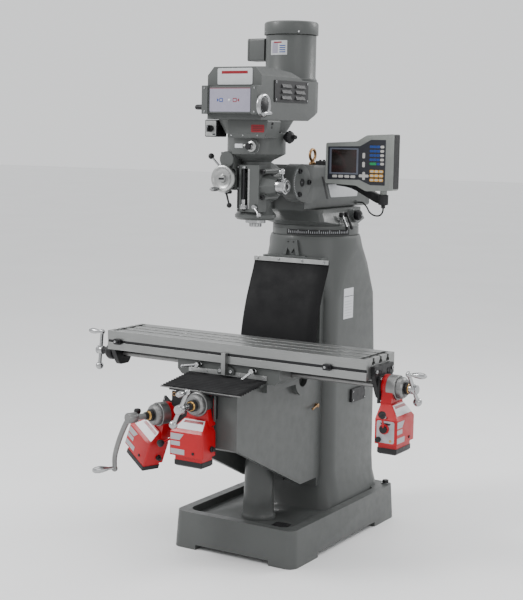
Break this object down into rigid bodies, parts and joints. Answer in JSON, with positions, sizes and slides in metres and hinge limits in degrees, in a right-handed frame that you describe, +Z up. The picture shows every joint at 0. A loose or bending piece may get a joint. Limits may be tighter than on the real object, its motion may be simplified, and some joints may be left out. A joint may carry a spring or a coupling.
{
  "type": "vertical milling machine",
  "caption": "Knee-type vertical turret mill: swivelling ram, tilting belt-driven head with quill, and a knee, saddle and slotted table with power feeds and readout.",
  "frame": {"origin": "on the floor, under the middle of the machine's box", "axes": "+Z up, -Y towards the operator, +X to the operator's right along the table"},
  "size_m": [1.702, 1.496, 2.292],
  "materials": {
    "grey_paint": "hammered semi-gloss enamel",
    "machined_iron": "ground and flaked",
    "bright_steel": "polished",
    "satin_aluminium": "satin, turned",
    "black_oxide": "black oxide, oiled",
    "black_plastic": "moulded, fine texture",
    "black_rubber": "matt",
    "red_paint": "gloss enamel",
    "bronze": "cast, worn bright",
    "readout_grey": "fine texture"
  },
  "bodies": {
    "base": {"column_base": "grey_paint", "screw_pedestal": "grey_paint", "rear_cover_bar": "satin_aluminium", "rear_way_cover": "black_rubber"},
    "turret": {"turret": "grey_paint"},
    "pinion_knob": {"ram_pinion_knob": "black_plastic"},
    "ram_lock_front": {"ram_lock_lever_front": "black_oxide"},
    "ram_lock_rear": {"ram_lock_lever_rear": "black_oxide"},
    "ram": {"ram": "grey_paint", "lifting_eye": "bronze", "display_arm": "black_plastic", "display_cable": "black_rubber"},
    "display": {"display": "readout_grey"},
    "knuckle": {"knuckle": "grey_paint"},
    "head": {"head_casting": "grey_paint", "gear_housing": "grey_paint", "belt_housing": "grey_paint", "speed_plate": "grey_paint", "vent_plate": "black_oxide", "motor": "grey_paint", "motor_fan_cover": "grey_paint", "motor_junction_box": "black_plastic", "switch_box": "black_plastic", "drive_belt": "black_rubber"},
    "switch_knob": {"switch_knob": "black_plastic"},
    "speed_handwheel": {"speed_handwheel": "satin_aluminium"},
    "brake_lever": {"brake_lever": "black_plastic"},
    "range_lever": {"range_lever": "satin_aluminium"},
    "feed_knob": {"feed_knob": "black_plastic"},
    "feed_handwheel": {"feed_handwheel": "satin_aluminium"},
    "trip_lever": {"trip_lever": "black_oxide"},
    "quill": {"quill": "bright_steel"},
    "spindle": {"spindle": "bright_steel"},
    "spindle_pulley": {"spindle_pulley": "machined_iron"},
    "motor_pulley": {"motor_pulley": "machined_iron"},
    "depth_stop": {"depth_stop_nut": "bright_steel"},
    "quill_lock": {"quill_lock_lever": "bright_steel"},
    "quill_handle": {"quill_handle": "bright_steel"},
    "feed_engage_lever": {"feed_engage_lever": "black_oxide"},
    "knee": {"knee": "grey_paint", "cross_feed_unit": "red_paint", "knee_feed_unit": "red_paint"},
    "knee_lock": {"knee_lock_lever": "bronze"},
    "elevating_screw": {"elevating_screw": "machined_iron"},
    "knee_crank": {"knee_crank": "machined_iron"},
    "cross_crank": {"cross_crank": "bright_steel"},
    "cross_feed_lever": {"cross_feed_lever": "black_plastic"},
    "knee_feed_lever": {"knee_feed_lever": "black_plastic"},
    "saddle": {"saddle": "grey_paint", "front_way_cover": "black_rubber"},
    "table_lock_left": {"table_lock_lever_left": "bright_steel"},
    "table_lock_right": {"table_lock_lever_right": "bright_steel"},
    "table": {"table": "machined_iron", "left_bracket": "black_oxide", "right_bracket": "black_oxide", "table_feed_unit": "red_paint"},
    "table_screw": {"table_leadscrew": "machined_iron", "table_crank_right": "bright_steel", "table_crank_left": "bright_steel"},
    "table_feed_lever": {"table_feed_lever": "black_plastic"}
  },
  "joints": [
    {"name": "knee_slide", "type": "slide", "parent": "base", "child": "knee", "axis": [0, 0, 1], "range_m": [0, 0.406], "deforming": ["rear_way_cover"]},
    {"name": "saddle_slide", "type": "slide", "parent": "knee", "child": "saddle", "axis": [0, -1, 0], "range_m": [-0.105, 0.185], "deforming": ["front_way_cover"]},
    {"name": "table_slide", "type": "slide", "parent": "saddle", "child": "table", "axis": [1, 0, 0], "range_m": [-0.381, 0.349]},
    {"name": "turret_swivel", "type": "hinge", "parent": "base", "child": "turret", "pos_m": [-0.022, 0.416, 1.38], "axis": [0, 0, 1], "range_deg": [-180, 180]},
    {"name": "ram_slide", "type": "slide", "parent": "turret", "child": "ram", "axis": [0, -1, 0], "range_m": [-0.155, 0.15]},
    {"name": "display_turn", "type": "hinge", "parent": "ram", "child": "display", "pos_m": [0.424, 0.194, 1.56], "axis": [0, 0, 1], "range_deg": [-5, 30]},
    {"name": "head_nod", "type": "hinge", "parent": "ram", "child": "knuckle", "pos_m": [-0.022, 0.059, 1.602], "axis": [1, 0, 0], "range_deg": [-20, 45]},
    {"name": "head_tilt", "type": "hinge", "parent": "knuckle", "child": "head", "pos_m": [-0.022, -0.05, 1.602], "axis": [0, 1, 0], "range_deg": [-90, 15]},
    {"name": "quill_slide", "type": "slide", "parent": "head", "child": "quill", "axis": [0, 0, 1], "range_m": [-0.127, 0]},
    {"name": "spindle_spin", "type": "hinge", "parent": "quill", "child": "spindle", "pos_m": [-0.022, -0.12, 1.5], "axis": [0, 0, 1], "continuous": true},
    {"name": "switch_turn", "type": "hinge", "parent": "head", "child": "switch_knob", "pos_m": [-0.182, -0.234, 1.827], "axis": [0, 1, 0], "range_deg": [-60, 60]},
    {"name": "speed_turn", "type": "hinge", "parent": "head", "child": "speed_handwheel", "pos_m": [0.116, -0.328, 1.922], "axis": [1, 0, 0], "continuous": true},
    {"name": "brake_turn", "type": "hinge", "parent": "head", "child": "brake_lever", "pos_m": [-0.163, -0.274, 1.915], "axis": [1, 0, 0], "range_deg": [-25, 25]},
    {"name": "range_turn", "type": "hinge", "parent": "head", "child": "range_lever", "pos_m": [0.03, -0.245, 1.756], "axis": [0, 1, 0], "range_deg": [-35, 35]},
    {"name": "feed_turn", "type": "hinge", "parent": "head", "child": "feed_knob", "pos_m": [0.105, -0.1, 1.796], "axis": [0.9701, -0.2425, 0], "range_deg": [-30, 30]},
    {"name": "feed_wheel_turn", "type": "hinge", "parent": "head", "child": "feed_handwheel", "pos_m": [-0.11, -0.222, 1.619], "axis": [0, 1, 0], "continuous": true},
    {"name": "trip_turn", "type": "hinge", "parent": "head", "child": "trip_lever", "pos_m": [-0.11, -0.221, 1.562], "axis": [0, 1, 0], "range_deg": [-15, 15]},
    {"name": "spindle_pulley_spin", "type": "hinge", "parent": "head", "child": "spindle_pulley", "pos_m": [-0.022, -0.12, 1.966], "axis": [0, 0, 1], "continuous": true},
    {"name": "motor_pulley_spin", "type": "hinge", "parent": "head", "child": "motor_pulley", "pos_m": [-0.022, 0.154, 1.966], "axis": [0, 0, 1], "continuous": true},
    {"name": "depth_stop_slide", "type": "slide", "parent": "head", "child": "depth_stop", "axis": [0, 0, 1], "range_m": [0, 0.12]},
    {"name": "quill_lock_turn", "type": "hinge", "parent": "head", "child": "quill_lock", "pos_m": [0.03, -0.2083, 1.505], "axis": [0, 1, 0], "range_deg": [-30, 10]},
    {"name": "quill_handle_turn", "type": "hinge", "parent": "head", "child": "quill_handle", "pos_m": [0.1065, -0.15, 1.592], "axis": [1, 0, 0], "range_deg": [-10, 370]},
    {"name": "feed_engage_turn", "type": "hinge", "parent": "head", "child": "feed_engage_lever", "pos_m": [-0.1345, -0.176, 1.64], "axis": [1, 0, 0], "range_deg": [-20, 20]},
    {"name": "pinion_knob_turn", "type": "hinge", "parent": "turret", "child": "pinion_knob", "pos_m": [0.146, 0.484, 1.446], "axis": [1, 0, 0], "continuous": true},
    {"name": "ram_lock_front_turn", "type": "hinge", "parent": "turret", "child": "ram_lock_front", "pos_m": [0.1405, 0.344, 1.452], "axis": [1, 0, 0], "range_deg": [-30, 10]},
    {"name": "ram_lock_rear_turn", "type": "hinge", "parent": "turret", "child": "ram_lock_rear", "pos_m": [0.1405, 0.39, 1.452], "axis": [1, 0, 0], "range_deg": [-30, 10]},
    {"name": "knee_lock_turn", "type": "hinge", "parent": "knee", "child": "knee_lock", "pos_m": [0.128, 0.178, 0.61], "axis": [1, 0, 0], "range_deg": [-30, 30]},
    {"name": "elevating_screw_turn", "type": "hinge", "parent": "knee", "child": "elevating_screw", "pos_m": [-0.022, -0.05, 0.4], "axis": [0, 0, 1], "continuous": true},
    {"name": "knee_crank_turn", "type": "hinge", "parent": "knee", "child": "knee_crank", "pos_m": [-0.19264, -0.50078, 0.652], "axis": [-0.354, -0.9352, 0], "continuous": true},
    {"name": "cross_crank_turn", "type": "hinge", "parent": "knee", "child": "cross_crank", "pos_m": [-0.022, -0.492, 0.716], "axis": [0, 1, 0], "continuous": true},
    {"name": "cross_feed_turn", "type": "hinge", "parent": "knee", "child": "cross_feed_lever", "pos_m": [-0.1263, -0.542, 0.566], "axis": [1, 0, 0], "range_deg": [-18, 18]},
    {"name": "knee_feed_turn", "type": "hinge", "parent": "knee", "child": "knee_feed_lever", "pos_m": [-0.35803, -0.49164, 0.56013], "axis": [0.8476, -0.3209, -0.4226], "range_deg": [-18, 18]},
    {"name": "table_lock_left_turn", "type": "hinge", "parent": "saddle", "child": "table_lock_left", "pos_m": [-0.157, -0.324, 0.836], "axis": [0, 1, 0], "range_deg": [-25, 25]},
    {"name": "table_lock_right_turn", "type": "hinge", "parent": "saddle", "child": "table_lock_right", "pos_m": [0.113, -0.324, 0.836], "axis": [0, 1, 0], "range_deg": [-25, 25]},
    {"name": "table_screw_turn", "type": "hinge", "parent": "table", "child": "table_screw", "pos_m": [-0.022, -0.213, 0.82], "axis": [1, 0, 0], "continuous": true},
    {"name": "table_feed_turn", "type": "hinge", "parent": "table", "child": "table_feed_lever", "pos_m": [0.705, -0.3173, 0.67], "axis": [0, 1, 0], "range_deg": [-18, 18]}
  ],
  "couplings": [
    {"joint": "pinion_knob_turn", "follows": "ram_slide", "rad_per_m": 40},
    {"joint": "elevating_screw_turn", "follows": "knee_slide", "rad_per_m": 989.47},
    {"joint": "knee_crank_turn", "follows": "knee_slide", "rad_per_m": 2473.7},
    {"joint": "cross_crank_turn", "follows": "saddle_slide", "rad_per_m": 1236.8},
    {"joint": "table_screw_turn", "follows": "table_slide", "rad_per_m": 1236.8},
    {"joint": "spindle_pulley_spin", "follows": "spindle_spin", "ratio": 1},
    {"joint": "motor_pulley_spin", "follows": "spindle_spin", "ratio": 1.5833},
    {"joint": "quill_handle_turn", "follows": "quill_slide", "rad_per_m": -50}
  ]
}
